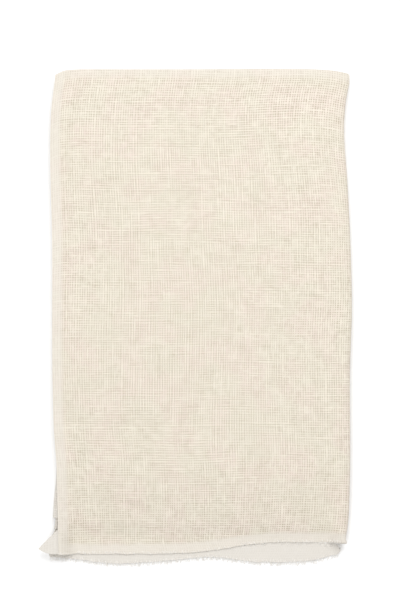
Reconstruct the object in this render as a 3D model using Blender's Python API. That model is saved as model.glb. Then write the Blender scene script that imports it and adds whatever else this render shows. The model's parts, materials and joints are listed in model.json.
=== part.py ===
"""Triangular arm sling of loose plain-weave cotton, folded flat into a rectangular pack.

The open sling is a right triangle. Its two acute ends are turned in to the right-angled point, which gives a
two-ply square. The square is folded in half at the top, and the doubled strip is then folded into three
equal widths, as a zigzag. The pack lies on its back: X runs across it, Y up it, and Z through its plies.

Cloth coordinates (p, q) are those of the square before it was folded: p runs along the raw bottom edge and q
along the selvage. Each third of the strip turns about the upright fold that joins it to the next one.
"""

import math

import bmesh
import bpy

SLING_LEG = 0.900  # each short side of the open triangle
TOP_CREASE = 0.2435  # q of the crease along the top of the pack
TOP_END_CREASE = 0.468  # q of the crease that turns the upper acute end down
SIDE_END_CREASE = 0.4465  # p of the crease that turns the lower acute end in
THIRD = SLING_LEG / 6  # cloth between two upright folds
FOLD_SPACING = 0.1465  # distance between the axes of the two upright folds
FRONT_OVERHANG = 0.0015  # how far the front third reaches past the left fold's axis
PLY = 0.0004  # thickness of the cloth
PITCH = 0.0007  # from one ply to the next in the stack
GAP = 0.0003  # clearance between two pieces
SELVAGE_WIDTH = 0.004
FRINGE_LENGTH = 0.004
TIP_RISE = 0.006  # the lower acute end is turned in slightly askew, so its tip lies this much higher
FOLD_STEPS = 14  # facets round a half-turn of cloth
SHARP_ANGLE = math.radians(40)
WELD = 1e-7
AXIS_MARK_SIZE = 0.02  # drawn size of the empties on the joint axes

THIRDS = ("front", "middle", "back")
RAW_EDGE = {"front": 0.0075, "middle": 0.0025, "back": 0.0}
PLIES_PER_THIRD = 4
HALF_TURN_PITCHES = PLIES_PER_THIRD - 0.5  # radius of the outermost ply's turn at an upright fold
LEFT_FOLD_Z = PLY / 2 + PITCH * HALF_TURN_PITCHES
RIGHT_FOLD_Z = LEFT_FOLD_Z + PITCH * PLIES_PER_THIRD

TIP_OVERSHOOT = SLING_LEG - 2 * SIDE_END_CREASE
TOP_END_FOOT = 2 * TOP_END_CREASE - SLING_LEG
CORNER_Q = SLING_LEG - SIDE_END_CREASE
CORNER_P = SLING_LEG - TOP_END_CREASE

MAIN_CUT = [
    (0, 0),
    (SIDE_END_CREASE, 0),
    (SIDE_END_CREASE, CORNER_Q),
    (CORNER_P, TOP_END_CREASE),
    (0, TOP_END_CREASE),
]
SIDE_END_CUT = [
    (-TIP_OVERSHOOT, TIP_RISE),
    (SIDE_END_CREASE, 0),
    (SIDE_END_CREASE, CORNER_Q),
]
TOP_END_CUT = [(0, TOP_END_FOOT), (CORNER_P, TOP_END_CREASE), (0, TOP_END_CREASE)]
CUTS = {"face": MAIN_CUT, "side_end": SIDE_END_CUT, "top_end": TOP_END_CUT}
TURNED_IN = ("side_end", "top_end")

RIGHT_REACH = FOLD_SPACING + PITCH * HALF_TURN_PITCHES + PLY / 2
LEFT_REACH = FRONT_OVERHANG + TIP_OVERSHOOT * (FOLD_SPACING + FRONT_OVERHANG) / THIRD
TOP_REACH = TOP_CREASE + PITCH * (PLIES_PER_THIRD - 1) / 2 + PLY / 2
BOTTOM_REACH = GAP + FRINGE_LENGTH
MID_X = (RIGHT_REACH - LEFT_REACH) / 2
MID_Y = (TOP_REACH - BOTTOM_REACH) / 2

COTTON = (0.86, 0.79, 0.68, 1.0)
COTTON_EDGE = (0.90, 0.84, 0.74, 1.0)
COTTON_ROUGHNESS = 0.95


def clear_scene():
    for old in list(bpy.data.objects):
        bpy.data.objects.remove(old, do_unlink=True)


def cotton(name, colour):
    material = bpy.data.materials.new(name)
    material.use_nodes = True
    shader = material.node_tree.nodes["Principled BSDF"]
    shader.inputs["Base Color"].default_value = colour
    shader.inputs["Roughness"].default_value = COTTON_ROUGHNESS
    shader.inputs["Metallic"].default_value = 0.0
    return material


def empty_at(name, place, parent=None):
    empty = bpy.data.objects.new(name, None)
    empty.empty_display_size = AXIS_MARK_SIZE
    empty["world_place"] = place
    start = parent["world_place"] if parent else (0.0, 0.0, 0.0)
    empty.location = [a - b for a, b in zip(place, start)]
    empty.parent = parent
    bpy.context.collection.objects.link(empty)
    return empty


def add_piece(name, shape, holder, colour=COTTON):
    """Gives the bmesh to a new object whose origin is its holder's, on the joint axis of that third."""
    bmesh.ops.recalc_face_normals(shape, faces=shape.faces)
    place = holder["world_place"]
    bmesh.ops.translate(shape, verts=shape.verts, vec=[-value for value in place])
    mesh = bpy.data.meshes.new(name)
    shape.to_mesh(mesh)
    shape.free()
    mesh.materials.append(cotton(name, colour))
    piece = bpy.data.objects.new(name, mesh)
    piece.parent = holder
    bpy.context.collection.objects.link(piece)
    return piece


def clip(outline, axis, limit, keep_above):
    """The part of a convex outline on one side of the line where coordinate axis equals limit."""
    kept = []
    for start, end in zip(outline, outline[1:] + outline[:1]):
        before = start[axis] - limit
        after = end[axis] - limit
        if not keep_above:
            before, after = -before, -after
        if before >= 0:
            kept.append(start)
        if before * after < 0:
            share = before / (before - after)
            kept.append(tuple(a + share * (b - a) for a, b in zip(start, end)))
    return kept


def window(outline, low_p, high_p, low_q, high_q):
    for axis, limit, keep_above in (
        (0, low_p, True),
        (0, high_p, False),
        (1, low_q, True),
        (1, high_q, False),
    ):
        outline = clip(outline, axis, limit, keep_above) if outline else []
    return outline


def span(outline, axis):
    values = [point[axis] for point in outline]
    return min(values), max(values)


def slot_of(cut, half):
    """Which of its third's four plies this one is, counted from the face with the raw edge."""
    if half == "lower":
        return 1 if cut in TURNED_IN else 0
    return 2 if cut in TURNED_IN else 3


def ply_z(third, slot):
    """Middle height of a ply. The middle third is turned over, so its plies run the other way."""
    base = (2 - THIRDS.index(third)) * PLIES_PER_THIRD
    level = slot if third == "middle" else PLIES_PER_THIRD - 1 - slot
    return PLY / 2 + PITCH * (base + level)


def folded_x(third, p):
    share = p / THIRD - THIRDS.index(third)
    if third == "middle":
        share = 1 - share
    start = -FRONT_OVERHANG if third == "front" else 0.0
    return start + share * (FOLD_SPACING - start) - MID_X


def folded_y(q):
    return TOP_CREASE - abs(q - TOP_CREASE) - MID_Y


def p_range(third):
    """The cloth of one third, short of its upright folds. Only the front third has a free edge."""
    start = THIRDS.index(third) * THIRD
    low = start + GAP if third != "front" else -TIP_OVERSHOOT
    high = start + THIRD - GAP
    return low, min(high, SIDE_END_CREASE - GAP)


def q_range(third, half, cut="face"):
    if half == "lower":
        return RAW_EDGE[third] if cut == "face" else 0.0, TOP_CREASE - GAP
    return TOP_CREASE + GAP, TOP_END_CREASE - GAP


def slab(outline, middle_z, thickness):
    shape = bmesh.new()
    corners = [shape.verts.new((x, y, middle_z - thickness / 2)) for x, y in outline]
    face = shape.faces.new(corners)
    grown = bmesh.ops.extrude_face_region(shape, geom=[face])["geom"]
    top = [part for part in grown if isinstance(part, bmesh.types.BMVert)]
    bmesh.ops.translate(shape, verts=top, vec=(0, 0, thickness))
    return shape


def folded(third, outline):
    return [(folded_x(third, p), folded_y(q)) for p, q in outline]


def make_plies(holders):
    for third in THIRDS:
        for half in ("lower", "upper"):
            for cut, outline in CUTS.items():
                low_p, high_p = p_range(third)
                if cut == "face" and third == "front":
                    low_p = SELVAGE_WIDTH + GAP
                outline = window(outline, low_p, high_p, *q_range(third, half, cut))
                if len(outline) < 3:
                    continue
                shape = slab(folded(third, outline), ply_z(third, slot_of(cut, half)), PLY)
                add_piece(f"{third}_{half}_{cut}", shape, holders[third])


def make_selvages(holders):
    for half in ("lower", "upper"):
        outline = window(MAIN_CUT, 0, SELVAGE_WIDTH, *q_range("front", half))
        shape = slab(folded("front", outline), ply_z("front", slot_of("face", half)), PLY)
        add_piece(f"front_{half}_selvage", shape, holders["front"], COTTON_EDGE)


def make_fringes(holders):
    for third in THIRDS:
        low_p, high_p = p_range(third)
        low_p = max(low_p, 0)
        top = RAW_EDGE[third] - GAP
        bottom = top - FRINGE_LENGTH
        outline = [(low_p, bottom), (high_p, bottom), (high_p, top), (low_p, top)]
        shape = slab(folded(third, outline), ply_z(third, 0), PLY / 2)
        add_piece(f"{third}_fringe", shape, holders[third], COTTON_EDGE)


def half_turn(centre, radius, along, low, high, outward):
    """A strip of cloth turned half round an axis.

    centre is (position across the axis, z), along is the axis's direction, 0 for X or 1 for Y, low and high
    are its ends, and outward is +1 or -1, the side to which the cloth bulges.
    """
    across = 1 - along

    def point(position, run, z):
        place = [0.0, 0.0, z]
        place[across] = position
        place[along] = run
        return place

    shape = bmesh.new()
    inner = centre[1] - radius + PLY / 2
    outer = centre[1] - radius - PLY / 2
    corners = [(low, inner), (high, inner), (high, outer), (low, outer)]
    face = shape.faces.new([shape.verts.new(point(centre[0], run, z)) for run, z in corners])
    turn = -outward if along == 1 else outward
    axis = [0.0, 0.0, 0.0]
    axis[along] = turn
    bmesh.ops.spin(
        shape,
        geom=[face] + list(face.edges) + list(face.verts),
        cent=point(centre[0], 0.0, centre[1]),
        axis=axis,
        angle=math.pi,
        steps=FOLD_STEPS,
        use_duplicate=False,
    )
    bmesh.ops.remove_doubles(shape, verts=shape.verts, dist=WELD)
    return shape


def make_top_folds(holders):
    for third in THIRDS:
        for cut, outline in CUTS.items():
            low_p, high_p = p_range(third)
            outline = window(outline, low_p, high_p, TOP_CREASE, TOP_CREASE + GAP)
            if len(outline) < 3:
                continue
            low_x, high_x = span(folded(third, outline), 0)
            under = ply_z(third, slot_of(cut, "lower"))
            over = ply_z(third, slot_of(cut, "upper"))
            centre = (folded_y(TOP_CREASE), (under + over) / 2)
            shape = half_turn(centre, abs(over - under) / 2, 0, low_x, high_x, 1)
            add_piece(f"{third}_top_fold_{cut}", shape, holders[third])


def make_bottom_folds(holders):
    """The crease that turns the upper acute end down, at the foot of the two rear plies of each third."""
    for third in THIRDS:
        low_p, high_p = p_range(third)
        outline = window(MAIN_CUT, max(low_p, 0), high_p, TOP_END_CREASE - GAP, TOP_END_CREASE)
        low_x, high_x = span(folded(third, outline), 0)
        turned_in, outside = (ply_z(third, slot_of(cut, "upper")) for cut in ("top_end", "face"))
        middle = (turned_in + outside) / 2
        shape = half_turn((folded_y(TOP_END_CREASE), middle), PITCH / 2, 0, low_x, high_x, -1)
        add_piece(f"{third}_bottom_fold", shape, holders[third])


def make_side_folds(holders):
    """The crease that turns the lower acute end in, at the right edge of the back third."""
    for half in ("lower", "upper"):
        low_p = SIDE_END_CREASE - GAP
        outline = window(MAIN_CUT, low_p, SIDE_END_CREASE, *q_range("back", half))
        low_y, high_y = span(folded("back", outline), 1)
        turned_in, outside = (ply_z("back", slot_of(cut, half)) for cut in ("side_end", "face"))
        middle = (turned_in + outside) / 2
        centre = (folded_x("back", SIDE_END_CREASE), middle)
        shape = half_turn(centre, PITCH / 2, 1, low_y, high_y, 1)
        add_piece(f"back_side_fold_{half}", shape, holders["back"])


def make_upright_folds(holders):
    """The nested half-turns that join each third to the next. They share the joint's axis."""
    folds = (
        ("right_fold", "front", "middle", RIGHT_FOLD_Z, 1),
        ("left_fold", "middle", "back", LEFT_FOLD_Z, -1),
    )
    for fold, upper, lower, axis_z, outward in folds:
        crease = THIRDS.index(lower) * THIRD
        for half in ("lower", "upper"):
            for cut, outline in CUTS.items():
                low_q, high_q = q_range(upper, half, cut)
                outline = window(outline, crease, crease + GAP, low_q, high_q)
                if len(outline) < 3:
                    continue
                low_y, high_y = span(folded(lower, outline), 1)
                radius = ply_z(upper, slot_of(cut, half)) - axis_z
                centre = (folded_x(lower, crease), axis_z)
                shape = half_turn(centre, radius, 1, low_y, high_y, outward)
                add_piece(f"{fold}_{half}_{cut}", shape, holders[lower])


def main():
    clear_scene()
    left_axis = (folded_x("back", 2 * THIRD), 0.0, LEFT_FOLD_Z)
    right_axis = (folded_x("middle", THIRD), 0.0, RIGHT_FOLD_Z)
    holders = {"back": empty_at("pack_origin", (0.0, 0.0, 0.0))}
    holders["middle"] = empty_at("left_fold_axis", left_axis, holders["back"])
    holders["front"] = empty_at("right_fold_axis", right_axis, holders["middle"])
    make_plies(holders)
    make_selvages(holders)
    make_fringes(holders)
    make_top_folds(holders)
    make_bottom_folds(holders)
    make_side_folds(holders)
    make_upright_folds(holders)
    for piece in bpy.data.objects:
        if piece.type == "MESH":
            piece.data.shade_smooth()
            piece.data.set_sharp_from_angle(angle=SHARP_ANGLE)


main()
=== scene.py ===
"""A triangular cotton sling, folded flat and laid on its back, seen from straight above.

The cloth is built as it was folded. Cloth coordinates (p, q) are those of the two-ply square that is folded
into the pack: p runs along the raw bottom edge, q along the selvage. A column is the path of one upright
thread: up the front from the raw edge, over the top crease, down the rear, and back up inside as the end that
was turned in. Neighbouring columns make a sheet, and the sheets of two thirds meet in nested half-turns.
"""

import json
import math
import random

import bmesh
import bpy
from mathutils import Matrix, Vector, noise


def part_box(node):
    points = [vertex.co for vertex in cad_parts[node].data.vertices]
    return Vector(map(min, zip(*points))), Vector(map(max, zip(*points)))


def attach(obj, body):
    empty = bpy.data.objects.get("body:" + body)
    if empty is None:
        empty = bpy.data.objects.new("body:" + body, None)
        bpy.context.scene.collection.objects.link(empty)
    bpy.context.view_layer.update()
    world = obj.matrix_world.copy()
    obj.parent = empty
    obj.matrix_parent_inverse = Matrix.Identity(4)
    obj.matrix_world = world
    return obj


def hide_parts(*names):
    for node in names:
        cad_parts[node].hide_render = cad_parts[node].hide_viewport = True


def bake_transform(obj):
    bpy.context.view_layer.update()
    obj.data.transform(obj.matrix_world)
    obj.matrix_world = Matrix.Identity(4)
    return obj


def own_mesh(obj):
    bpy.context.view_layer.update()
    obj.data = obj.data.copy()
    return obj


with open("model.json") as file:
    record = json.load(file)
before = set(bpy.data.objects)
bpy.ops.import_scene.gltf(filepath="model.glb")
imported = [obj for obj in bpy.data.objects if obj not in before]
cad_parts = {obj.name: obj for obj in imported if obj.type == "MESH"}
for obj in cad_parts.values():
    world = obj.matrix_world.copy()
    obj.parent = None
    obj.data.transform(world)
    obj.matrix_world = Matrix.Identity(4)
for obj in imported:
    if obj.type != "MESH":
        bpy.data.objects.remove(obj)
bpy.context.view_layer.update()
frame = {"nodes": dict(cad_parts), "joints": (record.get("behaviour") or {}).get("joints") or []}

# ---------------------------------------------------------------- sizes, in metres

MM = 0.001
SLING_LEG = 0.900
THIRD = SLING_LEG / 6  # a leg is folded in half, then in three
TOP_CREASE = 0.2435
TOP_END_CREASE = 0.468
SIDE_END_CREASE = 0.4465
TIP_OVERSHOOT = SLING_LEG - 2 * SIDE_END_CREASE
TIP_RISE = 0.006
TOP_END_FOOT = 2 * TOP_END_CREASE - SLING_LEG
THIRDS = ("front", "middle", "back")

CLOTH = 0.00030
WELD = 0.02 * MM
SHARP_ANGLE = math.radians(50)
STEP = 0.0020
TURN_STEPS = 8
FOLD_TURN_STEPS = 14
WARP_PITCH = 0.00123
WEFT_PITCH = 0.00119

JOINTS = {joint["name"]: joint for joint in frame["joints"]}
LEFT_X = JOINTS["left_fold"]["pos_m"][0]
RIGHT_X = JOINTS["right_fold"]["pos_m"][0]
FRONT_LEFT_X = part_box("front_lower_selvage")[0].x
TOP_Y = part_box("back_top_fold_face")[0].y
FOOT_Y = TOP_Y - TOP_CREASE
PITCH = 0.0007
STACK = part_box("front_lower_face")[1].z
RAW_Y = {third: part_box(f"{third}_lower_face")[0].y for third in THIRDS}


def middle_z(node):
    low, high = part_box(node)
    return (low.z + high.z) / 2


OUTER_Z = {third: middle_z(f"{third}_lower_face") for third in THIRDS}
INNER_Z = {third: middle_z(f"{third}_upper_face") for third in THIRDS}

# ---------------------------------------------------------------- small tools


def smoothstep(low, high, value):
    share = min(1.0, max(0.0, (value - low) / (high - low)))
    return share * share * (3 - 2 * share)


def mix(a, b, share):
    return a + (b - a) * share


def curve(points, at):
    """A smooth line through (position, value) points, in order of position."""
    places = [point[0] for point in points]
    if at <= places[0]:
        return points[0][1]
    if at >= places[-1]:
        return points[-1][1]
    i = next(n for n in range(len(places) - 1) if places[n + 1] > at)
    before = points[max(i - 1, 0)]
    start, end = points[i], points[i + 1]
    after = points[min(i + 2, len(points) - 1)]
    width = end[0] - start[0]
    share = (at - start[0]) / width
    slope_in = (end[1] - before[1]) / (end[0] - before[0]) * width
    slope_out = (after[1] - start[1]) / (after[0] - start[0]) * width
    square, cube = share**2, share**3
    return (
        (2 * cube - 3 * square + 1) * start[1]
        + (cube - 2 * square + share) * slope_in
        + (3 * square - 2 * cube) * end[1]
        + (cube - square) * slope_out
    )


def rough(x, y, wavelength, seed):
    """Smooth noise from -1 to 1."""
    return noise.noise(Vector((x / wavelength, y / wavelength, seed)))


def roughs(x, y, layers):
    """The sum of several noises, each given as (strength, wavelength, seed)."""
    return sum(strength * rough(x, y, wavelength, seed) for strength, wavelength, seed in layers)


# ---------------------------------------------------------------- how the pack lies

# How far each edge wanders from the straight one, in millimetres: the upright ones by height above the foot,
# and the level ones by the share of the way across.
RIGHT_FOOT = [(-5, -4), (-1, -1.5), (2, 1.2), (5, -1), (8, -2.1), (14, -1.3), (22, -0.6), (45, 0), (70, 0)]
RIGHT_TOP = [(95, 0), (125, 0.9), (160, 0.1), (190, -1.4), (215, -3.0), (230, -2.2), (240, -0.3)]
RIGHT_WANDER = RIGHT_FOOT + RIGHT_TOP
FRONT_LEFT_WANDER = [
    (0, 3.2), (25, 2.7), (45, 2.3), (65, 0.8), (100, 0.1), (160, 0), (200, -1), (225, -0.6), (243, 1.5)
]
REAR_LEFT_FOOT = [(-5, -2.6), (6, -2.4), (14, 0.6), (28, 1.8), (43, 3), (60, 2), (90, 1)]
REAR_LEFT_TOP = [(160, 1), (200, 0), (222, 0.6), (242, 2.4)]
REAR_LEFT_WANDER = REAR_LEFT_FOOT + REAR_LEFT_TOP
TOP_WANDER = [
    (-0.01, -1.9), (0.015, 0), (0.04, 0.6), (0.1, 0.9), (0.45, 0.9), (0.8, 1.1), (0.95, 0.4), (1.02, -1.4)
]
RAW_WANDER = {
    "front": [(0, -7.2), (0.3, -7.2), (0.45, -6.6), (0.55, -5), (0.67, -2.4), (0.75, -1.4), (1, -1.2)],
    "middle": [(0, -0.5), (0.3, -1), (0.5, 0), (0.6, 1.6), (0.75, 3.8), (1, 3)],
    "back": [
        (0, -1.2), (0.1, -2.6), (0.22, -4.6), (0.4, -3.3), (0.55, -1.3),
        (0.72, -3.8), (0.9, -3.2), (0.96, -0.8), (1, 1.6),
    ],
}
TEARS = ((0.35, 0.0065, 4.0), (0.25, 0.0022, 5.0))

# The turned-in side end's edge: its height above the foot by p, both in millimetres.
SIDE_END_EDGE = [(-TIP_OVERSHOOT / MM, TIP_RISE / MM), (-2, 3), (3, 1.8), (8, 3.5), (15, 13), (25, 13)]

# Heights above the foot, in millimetres, between which the stack thins, and then lies right down.
SQUEEZED_BELOW, FULL_ABOVE = 4, 42
DOWN_BELOW, DOWN_FROM = 6, 17
FOOT_PITCH = 0.00033
PLY_SHARE, END_SHARE = 0.22, 0.36  # how much of its height a ply keeps, and how much a turned-in end adds
ROLL_WIDTH = 0.06  # share of the way across, at either side, where the rolls hold the stack up
ROLL_SQUEEZE = 0.15

# Shares of the stack's height between which the left edge goes over from the rear's to the front's.
FRONT_FROM, FRONT_FULL = 0.60, 0.74
SWELLS = ((0.12, 0.060, 1.0), (0.06, 0.024, 2.0))
LOWER_BAND = (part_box("back_lower_side_end")[0].z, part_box("middle_lower_side_end")[1].z)
UPPER_BAND = (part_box("front_lower_side_end")[0].z, STACK)


def squeezed(z):
    """At the foot only the plies with a raw edge are left, so the room that the others took closes up."""
    low = min(max(z, LOWER_BAND[0]), LOWER_BAND[1]) - LOWER_BAND[0]
    high = min(max(z, UPPER_BAND[0]), UPPER_BAND[1]) - UPPER_BAND[0]
    return PLY_SHARE * z + END_SHARE * low + END_SHARE * high


def laid_down(z):
    """Below the side end's edge only the three raw-edged plies are left, and each lies right on the next."""
    back_z, middle_z, front_z = (OUTER_Z[third] for third in reversed(THIRDS))
    if z < middle_z:
        return FOOT_PITCH * (1 + (z - back_z) / (middle_z - back_z))
    return FOOT_PITCH * (2 + (z - middle_z) / (front_z - middle_z))


def settle(point):
    """Where a point of the neat pack lies once the soft cloth has settled. The same rule holds for every ply,
    so that none passes through its neighbour."""
    x, y, z = point
    height = (y - FOOT_Y) / MM
    across = (x - LEFT_X) / (RIGHT_X - LEFT_X)
    in_front = smoothstep(FRONT_FROM, FRONT_FULL, z / STACK)
    left = mix(curve(REAR_LEFT_WANDER, height), curve(FRONT_LEFT_WANDER, height), in_front)
    right = curve(RIGHT_WANDER, height)
    moved_x = x + mix(left, right, min(1.0, max(0.0, across))) * MM
    top_share = smoothstep(0.0, 1.0, height / (TOP_CREASE / MM)) ** 2
    moved_y = y + curve(TOP_WANDER, across) * MM * top_share
    inside = smoothstep(0.0, ROLL_WIDTH, min(across, 1 - across))
    thin = smoothstep(FULL_ABOVE, SQUEEZED_BELOW, height) * mix(ROLL_SQUEEZE, 1.0, inside)
    moved_z = mix(z, squeezed(z), thin)
    moved_z = mix(moved_z, laid_down(z), smoothstep(DOWN_FROM, DOWN_BELOW, height) * inside)
    moved_z *= 1 + inside * roughs(x, y, SWELLS)
    return Vector((moved_x, moved_y, moved_z))


def ply_z(third, slot):
    """Slot 0 is the ply with the raw edge, 1 and 2 are the turned-in ends, and 3 is the face's upper half."""
    return mix(OUTER_Z[third], INNER_Z[third], slot / 3)


def folded_x(third, p):
    share = p / THIRD - THIRDS.index(third)
    if third == "middle":
        return mix(RIGHT_X, LEFT_X, share)
    return mix(FRONT_LEFT_X if third == "front" else LEFT_X, RIGHT_X, share)


def folded_y(q):
    return TOP_Y - abs(q - TOP_CREASE)


def raw_q(third, p):
    """Where the torn edge of this third runs. It wanders, and it is a little jagged."""
    across = (folded_x(third, p) - LEFT_X) / (RIGHT_X - LEFT_X)
    torn = roughs(p, 0.0, TEARS)
    return RAW_Y[third] - FOOT_Y + (curve(RAW_WANDER[third], across) + torn) * MM


# ---------------------------------------------------------------- columns of cloth


def legs_of(third, cut, p):
    """The straight runs of one column, as (slot, first q, last q). A run that isn't reached is empty."""
    if cut == "strip":
        foot = min(TOP_END_CREASE, SLING_LEG - p)
        end = mix(TOP_END_FOOT, TOP_END_CREASE, p / (SLING_LEG - TOP_END_CREASE))
        return [
            (0, raw_q(third, p), TOP_CREASE),
            (3, TOP_CREASE, foot),
            (2, foot, min(foot, max(end, TOP_CREASE))),
            (1, TOP_CREASE, min(end, TOP_CREASE)),
        ]
    share = (p + TIP_OVERSHOOT) / (SIDE_END_CREASE + TIP_OVERSHOOT)
    low = curve(SIDE_END_EDGE, p / MM) * MM
    high = mix(TIP_RISE, SLING_LEG - SIDE_END_CREASE, share)
    return [(1, low, min(high, TOP_CREASE)), (2, TOP_CREASE, max(high, TOP_CREASE))]


LONGEST = {
    "strip": (
        TOP_CREASE,
        TOP_END_CREASE - TOP_CREASE,
        TOP_END_CREASE - TOP_CREASE,
        TOP_CREASE - TOP_END_FOOT,
    ),
    "side_end": (TOP_CREASE, SLING_LEG - SIDE_END_CREASE - TOP_CREASE),
}


def column(third, cut, p):
    """The points (length along the thread, y, z) of one column, before the pack settles. Every column of a
    cut has the same number of points, so those of an empty run lie on one another."""
    legs = legs_of(third, cut, p)
    points = []
    for i, (slot, first, last) in enumerate(legs):
        count = round(LONGEST[cut][i] / STEP)
        if first == last and points:
            points += [points[-1]] * (count + 1)
        else:
            z = ply_z(third, slot)
            start, end = folded_y(first), folded_y(last)
            points += [(mix(start, end, n / count), z) for n in range(count + 1)]
        if i + 1 == len(legs):
            break
        next_slot, next_first, next_last = legs[i + 1]
        if next_first == next_last or first == last:
            points += [points[-1]] * (TURN_STEPS - 1)
            continue
        next_z = ply_z(third, next_slot)
        middle, radius = (z + next_z) / 2, (z - next_z) / 2
        outward = 1 if end > start else -1
        for n in range(1, TURN_STEPS):
            angle = math.pi * n / TURN_STEPS
            bulge = outward * abs(radius) * math.sin(angle)
            points.append((end + bulge, middle + radius * math.cos(angle)))
    length = legs[0][1]
    measured = [(length, *points[0])]
    for before, here in zip(points, points[1:]):
        length += math.dist(before, here)
        measured.append((length, *here))
    return measured


def row_at(cut, leg, turn_share=0.0):
    """The number of the row where a leg starts, or of one that far back into the turn before it."""
    rows = sum(round(longest / STEP) + TURN_STEPS for longest in LONGEST[cut][:leg])
    return rows - round(TURN_STEPS * turn_share)


SELVAGE = 0.0060
HEM = 0.0056
CREASE = 0.0045
SELVAGE_CLOSE, CREASE_CLOSE = 0.8, 0.6


def closeness(p, length):
    """From 0 to 1, how close the threads are: at the selvage, by the raw edge and over the top crease."""
    selvage = smoothstep(SELVAGE, 0.7 * SELVAGE, p)
    hem = smoothstep(HEM, 0.7 * HEM, length - raw_q("front", min(max(p, 0.0), THIRD)))
    crease = smoothstep(CREASE, 0.3 * CREASE, abs(length - TOP_CREASE))
    return max(SELVAGE_CLOSE * selvage, hem, CREASE_CLOSE * crease)


def cloth_piece(name, grid, material):
    """grid holds rows of (place, (p, length)). Faces join neighbouring rows and columns, and then close to
    cloth with a thickness."""
    shape = bmesh.new()
    layer = shape.verts.layers.float_vector.new("cloth")
    rows = []
    for row in grid:
        rows.append([shape.verts.new(place) for place, _ in row])
        for vert, (_, (p, length)) in zip(rows[-1], row):
            vert[layer] = (p, length, closeness(p, length))
    for low, high in zip(rows, rows[1:]):
        for a, b, c, d in zip(low, low[1:], high[1:], high):
            shape.faces.new((a, b, c, d))
    bmesh.ops.remove_doubles(shape, verts=shape.verts, dist=WELD)
    bmesh.ops.dissolve_degenerate(shape, edges=shape.edges, dist=WELD)
    bmesh.ops.recalc_face_normals(shape, faces=shape.faces)
    mesh = bpy.data.meshes.new(name)
    shape.to_mesh(mesh)
    shape.free()
    piece = bpy.data.objects.new(name, mesh)
    bpy.context.collection.objects.link(piece)
    solid = piece.modifiers.new("thickness", "SOLIDIFY")
    solid.thickness = CLOTH
    solid.offset = 0
    graph = bpy.context.evaluated_depsgraph_get()
    closed = bpy.data.meshes.new_from_object(piece.evaluated_get(graph))
    piece.modifiers.clear()
    piece.data = closed
    closed.name = name
    closed.shade_smooth()
    closed.set_sharp_from_angle(angle=SHARP_ANGLE)
    closed.materials.append(material)
    return piece


def places_between(low_p, high_p, step=STEP):
    count = max(2, round((high_p - low_p) / step))
    return [mix(low_p, high_p, n / count) for n in range(count + 1)]


def flat_grid(third, cut, places, first_row=0, last_row=None, shape=None):
    """Rows of settled points from the columns at these places. shape(p, x, y, z) may move a point first."""
    columns = [(p, folded_x(third, p), column(third, cut, p)) for p in places]
    rows = []
    for r in range(first_row, len(columns[0][2]) if last_row is None else last_row + 1):
        row = []
        for p, x, points in columns:
            length, y, z = points[r]
            place = shape(p, x, y, z) if shape else (x, y, z)
            row.append((settle(place), (p, length)))
        rows.append(row)
    return rows


def half_turn_grid(near, far, p, fold_x, outward, first_row=0, last_row=None):
    """Rows of settled points that carry one column round to the other, as a half-turn that bulges along X.
    A gap between them in y counts up to a pitch, as at a crease. Past that, the edge just slants."""
    rows = []
    last = len(near) if last_row is None else last_row + 1
    for (length, y_near, z_near), (_, y_far, z_far) in list(zip(near, far))[first_row:last]:
        row = []
        radius = math.hypot(z_near - z_far, min(abs(y_near - y_far), PITCH)) / 2
        for n in range(FOLD_TURN_STEPS + 1):
            angle = math.pi * n / FOLD_TURN_STEPS
            share = (1 - math.cos(angle)) / 2
            x = fold_x + outward * radius * math.sin(angle)
            place = settle((x, mix(y_near, y_far, share), mix(z_near, z_far, share)))
            row.append((place, (p + radius * angle, length)))
        rows.append(row)
    return rows


# ---------------------------------------------------------------- materials


class Nodes:
    """Builds a material's nodes from sums."""

    def __init__(self, name):
        self.material = bpy.data.materials.new(name)
        self.material.use_nodes = True
        self.tree = self.material.node_tree
        self.shader = self.tree.nodes["Principled BSDF"]

    def put(self, socket, value):
        if hasattr(value, "is_output"):
            self.tree.links.new(value, socket)
        else:
            socket.default_value = value

    def math(self, operation, *values):
        node = self.tree.nodes.new("ShaderNodeMath")
        node.operation = operation
        for socket, value in zip(node.inputs, values):
            self.put(socket, value)
        return node.outputs[0]

    def add(self, *values):
        total = values[0]
        for value in values[1:]:
            total = self.math("ADD", total, value)
        return total

    def times(self, *values):
        total = values[0]
        for value in values[1:]:
            total = self.math("MULTIPLY", total, value)
        return total

    def ramp(self, value, low, high):
        """0 below low, 1 above high, and smooth between them."""
        node = self.tree.nodes.new("ShaderNodeMapRange")
        node.interpolation_type = "SMOOTHSTEP"
        for socket, given in zip(node.inputs, (value, low, high)):
            self.put(socket, given)
        return node.outputs[0]

    def vector(self, x, y, z=0.0):
        node = self.tree.nodes.new("ShaderNodeCombineXYZ")
        for socket, value in zip(node.inputs, (x, y, z)):
            self.put(socket, value)
        return node.outputs[0]

    def parts(self, vector):
        node = self.tree.nodes.new("ShaderNodeSeparateXYZ")
        self.put(node.inputs[0], vector)
        return node.outputs

    def noise(self, vector, scale, detail, colour=False):
        node = self.tree.nodes.new("ShaderNodeTexNoise")
        self.put(node.inputs["Vector"], vector)
        node.inputs["Scale"].default_value = scale
        node.inputs["Detail"].default_value = detail
        return node.outputs["Color" if colour else "Fac"]

    def blend(self, share, a, b):
        node = self.tree.nodes.new("ShaderNodeMix")
        node.data_type = "RGBA"
        self.put(node.inputs["Factor"], share)
        self.put(node.inputs["A"], a)
        self.put(node.inputs["B"], b)
        return node.outputs["Result"]


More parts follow.
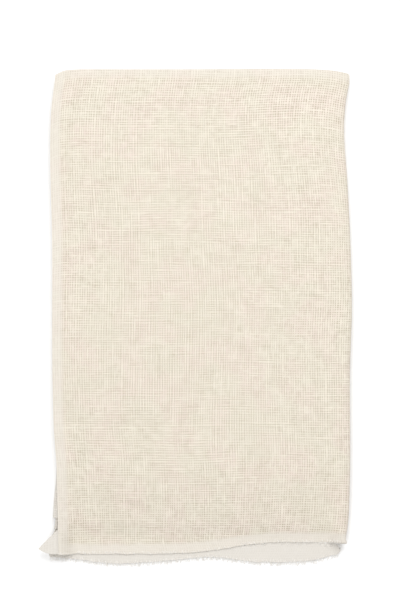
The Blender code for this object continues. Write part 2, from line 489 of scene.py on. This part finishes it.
THREAD = (0.690, 0.644, 0.546, 1)
THREAD_PINK = (0.713, 0.629, 0.555, 1)
# THREAD_PALE and GREY_PALE: paler yarns, and a painted highlight on each thread's crown.
THREAD_PALE = (0.775, 0.722, 0.625, 1)
# GAP_PAINTED_SHADE and GREY_GAP_PAINTED_SHADE are painted shade: the shaded ply beneath, seen through the
# holes of the loose weave.
GAP_PAINTED_SHADE = (0.475, 0.411, 0.316, 1)
CLOSE = (0.688, 0.647, 0.584, 1)
# The rear plies are the same cotton in greyer colours with lighter gaps: painted light, for light that passes
# through the thin plies, and to lighten the shade between them.
GREY_THREAD = (0.682, 0.648, 0.594, 1)
GREY_THREAD_WARM = (0.691, 0.646, 0.588, 1)
GREY_PALE = (0.722, 0.688, 0.634, 1)
GREY_GAP_PAINTED_SHADE = (0.570, 0.528, 0.468, 1)
GREY_CLOSE = (0.664, 0.632, 0.582, 1)
# The yarn is painted paler than the cloth's threads, to lighten the shade the loose ends lie in.
YARN_DULL = (0.80, 0.772, 0.727, 1)
YARN_PALE = (0.85, 0.825, 0.785, 1)
YARN_SHADE = (0.76, 0.732, 0.690, 1)
YARN_TWIST = 0.0011

# How the weave varies: noises by their number of swings in a metre, and strengths as shares.
DRIFT_SWINGS, DRIFT = 14.0, 0.004
LOOSE_SWINGS, LOOSE = 110.0, 0.05
FEW_SWINGS, FEW_WARP, FEW_WEFT = 90.0, 0.04, 0.05
TONE_SWINGS, FUZZ_SWINGS = 55.0, 3600.0
STRAY_SWINGS, STRAY = 14.0, 0.85
SLUB_SWINGS, SLUB = 225.0, 1.95
SHADE_SWINGS, PALE = 195.0, 0.9
THREAD_EDGE, THREAD_SOFTNESS = 0.22, 0.34
WARP_COVER, WEFT_COVER = 1.0, 0.968
CLOSE_COVER = 0.75


def woven_cotton(name, thread_colour, second_colour, pale_and_highlight_colour, gap_painted_shade, close_colour):
    """Loose plain weave. The threads follow the cloth attribute, so they run on round every fold."""
    n = Nodes(name)
    source = n.tree.nodes.new("ShaderNodeAttribute")
    source.attribute_name = "cloth"
    p, s, close = n.parts(source.outputs["Vector"])
    flat = n.vector(p, s)
    drift = n.parts(n.noise(flat, DRIFT_SWINGS, 1.0, colour=True))
    loose = n.ramp(n.noise(flat, LOOSE_SWINGS, 3.0), 0.36, 0.62)
    few_warp = n.ramp(n.noise(n.vector(p, s, 1.7), FEW_SWINGS, 1.0), 0.44, 0.60)
    few_weft = n.ramp(n.noise(n.vector(p, s, 3.1), FEW_SWINGS, 1.0), 0.44, 0.60)

    def thread(position, along, pitch, seed, weight):
        """One set of threads: how far each covers a point, its wave across and phase, and how pale it is."""
        far = n.vector(n.times(position, 0.42 / pitch), n.times(along, STRAY_SWINGS), seed)
        stray = n.noise(far, 1.0, 1.0)
        place = n.add(position, n.times(n.add(stray, -0.5), STRAY * pitch))
        number = n.math("FLOOR", n.add(n.times(place, 1 / pitch), 0.5))
        slub = n.noise(n.vector(n.times(number, 7.31), n.times(along, SLUB_SWINGS), seed + 2), 1.0, 2.0)
        shade = n.noise(n.vector(n.times(number, 3.77), n.times(along, SHADE_SWINGS), seed + 4), 1.0, 1.0)
        turn = n.times(place, 2 * math.pi / pitch)
        wave = n.add(0.5, n.times(0.5, n.math("COSINE", turn)))
        edge = n.add(THREAD_EDGE, n.times(n.add(0.5, n.times(slub, -1)), SLUB), n.times(loose, LOOSE))
        cover = n.times(n.ramp(wave, edge, n.add(edge, THREAD_SOFTNESS)), weight)
        return cover, wave, turn, n.ramp(shade, 0.40, 0.66)

    warp_place = n.add(p, n.times(n.add(drift[0], -0.5), DRIFT))
    weft_place = n.add(s, n.times(n.add(drift[1], -0.5), DRIFT))
    warp_cover = n.add(WARP_COVER, n.times(few_warp, -FEW_WARP))
    weft_cover = n.add(WEFT_COVER, n.times(few_weft, -FEW_WEFT))
    warp, warp_wave, warp_turn, warp_pale = thread(warp_place, s, WARP_PITCH, 1.0, warp_cover)
    weft, weft_wave, weft_turn, weft_pale = thread(weft_place, p, WEFT_PITCH, 5.0, weft_cover)
    # The two sets pass over and under each other by turns.
    over = n.times(n.math("COSINE", n.times(warp_turn, 0.5)), n.math("COSINE", n.times(weft_turn, 0.5)))
    warp_height = n.times(warp, n.add(0.62, n.times(over, 0.30)), n.add(0.6, n.times(warp_wave, 0.4)))
    weft_height = n.times(weft, n.add(0.62, n.times(over, -0.30)), n.add(0.6, n.times(weft_wave, 0.4)))
    height = n.math("MAXIMUM", warp_height, weft_height)
    # Paler yarns picked at random, laid on strongest along each thread's crown, where the paleness is a
    # painted highlight.
    pale_and_highlight = n.math("MAXIMUM", n.times(warp, warp_pale, warp_wave), n.times(weft, weft_pale, weft_wave))
    tone = n.noise(flat, TONE_SWINGS, 1.0)
    threads = n.blend(n.ramp(tone, 0.40, 0.62), thread_colour, second_colour)
    threads = n.blend(n.times(pale_and_highlight, PALE), threads, pale_and_highlight_colour)
    # Between the threads the colour goes over to painted shade, for the shaded ply seen through the holes.
    weave = n.blend(n.math("MAXIMUM", warp, weft), gap_painted_shade, threads)
    n.put(n.shader.inputs["Base Color"], n.blend(n.times(close, CLOSE_COVER), weave, close_colour))
    n.put(n.shader.inputs["Roughness"], n.add(0.86, n.times(tone, 0.12)))
    n.shader.inputs["Specular IOR Level"].default_value = 0.15
    n.shader.inputs["Sheen Weight"].default_value = 0.12
    n.shader.inputs["Sheen Roughness"].default_value = 0.5
    fuzz = n.noise(flat, FUZZ_SWINGS, 2.0)
    bump = n.tree.nodes.new("ShaderNodeBump")
    bump.inputs["Strength"].default_value = 0.6
    bump.inputs["Distance"].default_value = 0.00035
    relief = n.times(height, n.add(1.0, n.times(close, -0.6)))
    n.put(bump.inputs["Height"], n.add(relief, n.times(fuzz, 0.18)))
    n.put(n.shader.inputs["Normal"], bump.outputs["Normal"])
    return n.material


def spun_thread(name):
    """A single spun yarn: fibres wound round its length, paler and darker by turns."""
    n = Nodes(name)
    source = n.tree.nodes.new("ShaderNodeAttribute")
    source.attribute_name = "cloth"
    around, along, which = n.parts(source.outputs["Vector"])
    twist = n.add(n.times(along, 2 * math.pi / YARN_TWIST), n.times(around, 2 * math.pi))
    strand = n.add(0.5, n.times(0.5, n.math("SINE", twist)))
    fibre = n.noise(n.vector(n.times(around, 6.0), n.times(along, 900.0), n.times(which, 17.0)), 1.0, 3.0)
    own = n.noise(n.vector(n.times(which, 5.3), 0.0, 0.0), 1.0, 0.0)
    body = n.blend(n.ramp(own, 0.35, 0.65), YARN_DULL, YARN_PALE)
    n.put(n.shader.inputs["Base Color"], n.blend(n.times(strand, fibre, 0.6), body, YARN_SHADE))
    n.put(n.shader.inputs["Roughness"], n.add(0.85, n.times(fibre, 0.15)))
    n.shader.inputs["Specular IOR Level"].default_value = 0.1
    n.shader.inputs["Sheen Weight"].default_value = 0.2
    bump = n.tree.nodes.new("ShaderNodeBump")
    bump.inputs["Strength"].default_value = 0.4
    bump.inputs["Distance"].default_value = 0.0001
    n.put(bump.inputs["Height"], n.add(strand, n.times(fibre, 0.5)))
    n.put(n.shader.inputs["Normal"], bump.outputs["Normal"])
    return n.material


FACE_COTTON = woven_cotton("face_cotton", THREAD, THREAD_PINK, THREAD_PALE, GAP_PAINTED_SHADE, CLOSE)
# The rear plies' cotton: the face's cotton with painted light, greyer and with lighter gaps.
REAR_COTTON_PAINTED_LIGHT = woven_cotton("rear_cotton_painted_light", GREY_THREAD, GREY_THREAD_WARM, GREY_PALE, GREY_GAP_PAINTED_SHADE, GREY_CLOSE)
YARN = spun_thread("cotton_yarn")

# ---------------------------------------------------------------- threads

THREAD_SIDES = 6
THREAD_POINTS = 7


def tube_rows(points, radii):
    """Rings round a path, for one thread."""
    rings = []
    for i, point in enumerate(points):
        ahead = points[min(i + 1, len(points) - 1)] - points[max(i - 1, 0)]
        ahead.normalize()
        aside = ahead.cross(Vector((0, 0, 1)))
        if aside.length < 0.1:
            aside = ahead.cross(Vector((1, 0, 0)))
        aside.normalize()
        up = aside.cross(ahead)
        ring = []
        for k in range(THREAD_SIDES):
            angle = 2 * math.pi * k / THREAD_SIDES
            ring.append(point + (aside * math.cos(angle) + up * math.sin(angle)) * radii[i])
        rings.append(ring)
    return rings


def thread_object(name, threads):
    """threads is a list of (points, radii). Every thread is a closed tube in one mesh."""
    places, faces, cloth = [], [], []
    sides = THREAD_SIDES
    for number, (points, radii) in enumerate(threads):
        base = len(places)
        length = 0.0
        for i, ring in enumerate(tube_rows(points, radii)):
            length += (points[i] - points[i - 1]).length if i else 0.0
            places += ring
            cloth += [v for k in range(sides) for v in (k / sides, length, float(number))]
        for i in range(len(points) - 1):
            for k in range(sides):
                a, b = base + i * sides + k, base + i * sides + (k + 1) % sides
                faces.append((a, b, b + sides, a + sides))
        faces.append(tuple(base + k for k in reversed(range(sides))))
        last = base + (len(points) - 1) * sides
        faces.append(tuple(last + k for k in range(sides)))
    mesh = bpy.data.meshes.new(name)
    mesh.from_pydata(places, [], faces)
    attribute = mesh.attributes.new("cloth", "FLOAT_VECTOR", "POINT")
    attribute.data.foreach_set("vector", cloth)
    mesh.shade_smooth()
    mesh.materials.append(YARN)
    piece = bpy.data.objects.new(name, mesh)
    bpy.context.collection.objects.link(piece)
    return piece


def frayed_thread(start, heading, length, thickness, sag, luck):
    """A loose end that leaves the cloth at start, wanders, and thins out to nothing."""
    drift_x = luck.uniform(-0.5, 0.5)
    curl = luck.uniform(-1, 1)
    points, radii = [], []
    for n in range(THREAD_POINTS):
        share = n / (THREAD_POINTS - 1)
        x = start[0] + heading[0] * length * share + drift_x * length * share**2
        x += 0.12 * length * math.sin(curl * 5 * share)
        y = start[1] + heading[1] * length * share
        z = start[2] - sag * share**2 + 0.3 * MM * math.sin(curl * 4 * share + curl)
        thick = thickness * mix(1.0, 0.35, share)
        points.append(Vector((x, y, max(z, thick))))
        radii.append(thick)
    return points, radii


def fringe(name, third, reach, seed):
    """Loose thread ends along a torn edge. reach is how far they stand out, in millimetres."""
    luck = random.Random(seed)
    threads = []
    first = THIRDS.index(third) * THIRD
    width = THIRD if third != "back" else SIDE_END_CREASE - first
    p = first
    while p < first + width:
        inset = luck.uniform(0.5, 1.6) * MM
        start = settle((folded_x(third, p), folded_y(raw_q(third, p)) + inset, ply_z(third, 0)))
        tuft = 1 + 0.45 * rough(p, 0.0, 0.006, seed) + 0.35 * rough(p, 0.0, 0.0021, seed + 0.5)
        length = inset + reach * MM * tuft * luck.uniform(0.75, 1.1)
        drop = max(0.0, min(0.4 * MM, start.z - 0.3 * MM))
        lean = luck.uniform(-0.2, 0.2) + 0.35 * rough(p, 0.0, 0.011, seed + 0.7)
        thickness = luck.uniform(0.12, 0.2) * MM
        threads.append(frayed_thread(start, (lean, -1.0), length, thickness, drop, luck))
        p += luck.uniform(0.30, 0.55) * MM
    return thread_object(name, threads)


# ---------------------------------------------------------------- the sheets of the pack

STRIP_END = {"front": THIRD, "middle": 2 * THIRD, "back": SIDE_END_CREASE}
OPENS_WITH = {"middle": "left_fold", "front": "right_fold"}
TIP_OUT, TIP_IN = -6 * MM, 8 * MM
TIP_SLIP, TIP_DROOP = 3.4 * MM, 2.8 * MM


def ride_flat(piece, third):
    """The piece rides on its third. Where a joint opens that third, the piece gets its own copy of its mesh.
    """
    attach(piece, f"{third}_third")
    if third in OPENS_WITH:
        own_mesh(piece)


def add_cloth(name, third, nodes, grid, material):
    piece = cloth_piece(name, grid, material)
    ride_flat(piece, third)
    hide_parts(*nodes)


def pulled_tip(p, x, y, z):
    """The turned-in end's tip slips out past the selvage and droops."""
    slip = smoothstep(TIP_IN, TIP_OUT, p)
    return x - TIP_SLIP * slip, y - TIP_DROOP * slip, z


front_places = places_between(0.0, THIRD)
wrap_row = row_at("strip", 1) + 3
add_cloth(
    "front_face_cloth",
    "front",
    ("front_lower_face", "front_lower_selvage", "front_top_fold_face"),
    flat_grid("front", "strip", front_places, 0, wrap_row),
    FACE_COTTON,
)
add_cloth(
    "front_inner_cloth",
    "front",
    (
        "front_upper_face",
        "front_upper_selvage",
        "front_bottom_fold",
        "front_upper_top_end",
        "front_top_fold_top_end",
        "front_lower_top_end",
    ),
    flat_grid("front", "strip", front_places, wrap_row),
    REAR_COTTON_PAINTED_LIGHT,
)
add_cloth(
    "front_side_end_cloth",
    "front",
    ("front_lower_side_end",),
    flat_grid(
        "front",
        "side_end",
        places_between(-TIP_OVERSHOOT, THIRD, STEP / 2),
        0,
        row_at("side_end", 1, 1),
        pulled_tip,
    ),
    REAR_COTTON_PAINTED_LIGHT,
)
middle_places = places_between(THIRD, 2 * THIRD)
add_cloth(
    "middle_cloth",
    "middle",
    (
        "middle_lower_face",
        "middle_upper_face",
        "middle_top_fold_face",
        "middle_bottom_fold",
        "middle_upper_top_end",
        "middle_top_fold_top_end",
        "middle_lower_top_end",
    ),
    flat_grid("middle", "strip", middle_places),
    REAR_COTTON_PAINTED_LIGHT,
)
add_cloth(
    "middle_side_end_cloth",
    "middle",
    ("middle_lower_side_end", "middle_upper_side_end", "middle_top_fold_side_end"),
    flat_grid("middle", "side_end", middle_places),
    REAR_COTTON_PAINTED_LIGHT,
)
back_places = places_between(2 * THIRD, SIDE_END_CREASE)
add_cloth(
    "back_cloth",
    "back",
    (
        "back_lower_face",
        "back_upper_face",
        "back_top_fold_face",
        "back_bottom_fold",
        "back_upper_top_end",
    ),
    flat_grid("back", "strip", back_places),
    REAR_COTTON_PAINTED_LIGHT,
)
add_cloth(
    "back_side_end_cloth",
    "back",
    ("back_lower_side_end", "back_upper_side_end", "back_top_fold_side_end"),
    flat_grid("back", "side_end", back_places),
    REAR_COTTON_PAINTED_LIGHT,
)
crease_rows = row_at("side_end", 2) - TURN_STEPS
add_cloth(
    "back_side_crease_cloth",
    "back",
    ("back_side_fold_lower", "back_side_fold_upper"),
    half_turn_grid(
        column("back", "strip", SIDE_END_CREASE)[: crease_rows + 1],
        column("back", "side_end", SIDE_END_CREASE),
        SIDE_END_CREASE,
        folded_x("back", SIDE_END_CREASE),
        1,
    ),
    REAR_COTTON_PAINTED_LIGHT,
)

# ---------------------------------------------------------------- the rolls at the upright folds


def add_roll(name, joint_name, upper, lower, cut, p, node, first_row, last_row):
    """One ply's half-turn from one third to the next, round the whole of its own radius, as a nested
    half-turn lies, so each ply has its own piece."""
    joint = JOINTS[joint_name]
    x, _, z = joint["pos_m"]
    outward = 1 if joint_name == "right_fold" else -1
    near, far = column(upper, cut, p), column(lower, cut, p)
    grid = half_turn_grid(near, far, p, x, outward, first_row, last_row)
    piece = cloth_piece(name, grid, FACE_COTTON if name == "right_outer_roll" else REAR_COTTON_PAINTED_LIGHT)
    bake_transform(piece)
    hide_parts(node)


HALF = 0.5
ROLLS = {
    "outer_roll": ("strip", 0, row_at("strip", 0), row_at("strip", 1, HALF), "lower_face"),
    "inner_roll": ("strip", 3, row_at("strip", 1, HALF), row_at("strip", 2, HALF), "upper_face"),
    "upper_top_end_roll": ("strip", 2, row_at("strip", 2, HALF), row_at("strip", 3, HALF), "upper_top_end"),
    "lower_top_end_roll": ("strip", 1, row_at("strip", 3, HALF), None, "lower_top_end"),
    "lower_side_end_roll": ("side_end", 1, 0, row_at("side_end", 1, HALF), "lower_side_end"),
    "upper_side_end_roll": ("side_end", 2, row_at("side_end", 1, HALF), None, "upper_side_end"),
}
for side, joint_name, upper, lower, p in (
    ("right", "right_fold", "front", "middle", THIRD),
    ("left", "left_fold", "middle", "back", 2 * THIRD),
):
    for roll, (cut, slot, first_row, last_row, ply) in ROLLS.items():
        name, node = f"{side}_{roll}", f"{side}_fold_{ply}"
        if node in frame["nodes"]:
            add_roll(name, joint_name, upper, lower, cut, p, node, first_row, last_row)

# ---------------------------------------------------------------- torn edges

FRINGES = {
    "front": ("front_loose_ends", 0.5, 11),
    "middle": ("middle_loose_ends", 1.8, 23),
    "back": ("back_loose_ends", 2.0, 37),
}
for third, (name, reach, seed) in FRINGES.items():
    piece = fringe(name, third, reach, seed)
    ride_flat(piece, third)
    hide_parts(f"{third}_fringe")

# ---------------------------------------------------------------- the length and area of each sheet, worked out but not used


def strip_area(third, first_row, last_row):
    """The cut's flat area, from the lengths of its columns."""
    first = THIRDS.index(third) * THIRD
    places = places_between(first, STRIP_END[third])
    total = 0.0
    for p in places:
        points = column(third, "strip", p)
        last = len(points) - 1 if last_row is None else last_row
        total += points[last][0] - points[first_row][0]
    return total / len(places) * (STRIP_END[third] - first)


def declare_strip(third, first_row, last_row):
    """Works out the length and the area of rows first_row to last_row of a third's columns, and uses neither.
    Its length is that of its longest column.
    """
    first = THIRDS.index(third) * THIRD
    points = column(third, "strip", first + MM)
    last = len(points) - 1 if last_row is None else last_row
    longest = max(
        column(third, "strip", p)[last][0] - column(third, "strip", p)[first_row][0]
        for p in places_between(first, STRIP_END[third], THIRD / 6)
    )
    area = strip_area(third, first_row, last_row)


declare_strip("front", 0, wrap_row)
declare_strip("front", wrap_row, None)
declare_strip("middle", 0, None)
declare_strip("back", 0, None)

# ---------------------------------------------------------------- floor, light and camera


def plain_material(name, colour, roughness):
    material = bpy.data.materials.new(name)
    material.use_nodes = True
    shader = material.node_tree.nodes["Principled BSDF"]
    shader.inputs["Base Color"].default_value = colour
    shader.inputs["Roughness"].default_value = roughness
    shader.inputs["Specular IOR Level"].default_value = 0.1
    return material


HALF_FLOOR = 3.0
FLOOR_Z = -0.45 * MM  # a little below the pack, for the valley between two opened thirds
floor_mesh = bpy.data.meshes.new("pack_floor")
corners = [(x * HALF_FLOOR, y * HALF_FLOOR, FLOOR_Z) for x, y in ((-1, -1), (1, -1), (1, 1), (-1, 1))]
floor_mesh.from_pydata(corners, [], [(0, 1, 2, 3)])
floor_mesh.materials.append(plain_material("floor_white", (0.97, 0.97, 0.97, 1), 0.9))
floor = bpy.data.objects.new("pack_floor", floor_mesh)
bpy.context.collection.objects.link(floor)


def area_light(name, place, size, power):
    light = bpy.data.lights.new(name, "AREA")
    light.shape = "SQUARE"
    light.size = size
    light.energy = power
    holder = bpy.data.objects.new(name, light)
    holder.location = place
    holder.rotation_euler = Vector(place).to_track_quat("Z", "Y").to_euler()
    bpy.context.collection.objects.link(holder)


area_light("key", (0.10, 0.46, 0.72), 0.5, 3.6)
area_light("fill", (-0.4, -0.5, 1.5), 1.6, 9.6)

world = bpy.data.worlds.new("studio")
world.use_nodes = True
world.node_tree.nodes["Background"].inputs["Color"].default_value = (1, 1, 1, 1)
world.node_tree.nodes["Background"].inputs["Strength"].default_value = 0.69
bpy.context.scene.world = world
bpy.context.scene.view_settings.view_transform = "Standard"

CAMERA_HEIGHT = 1.6
FRAME_LONG = 0.303
AIM = (0.0028, 0.0088)
camera = bpy.data.cameras.new("camera")
camera.sensor_width = 36.0
camera.lens = camera.sensor_width * (CAMERA_HEIGHT - STACK) / FRAME_LONG
viewer = bpy.data.objects.new("camera", camera)
viewer.location = (*AIM, CAMERA_HEIGHT)
bpy.context.collection.objects.link(viewer)
bpy.context.scene.camera = viewer
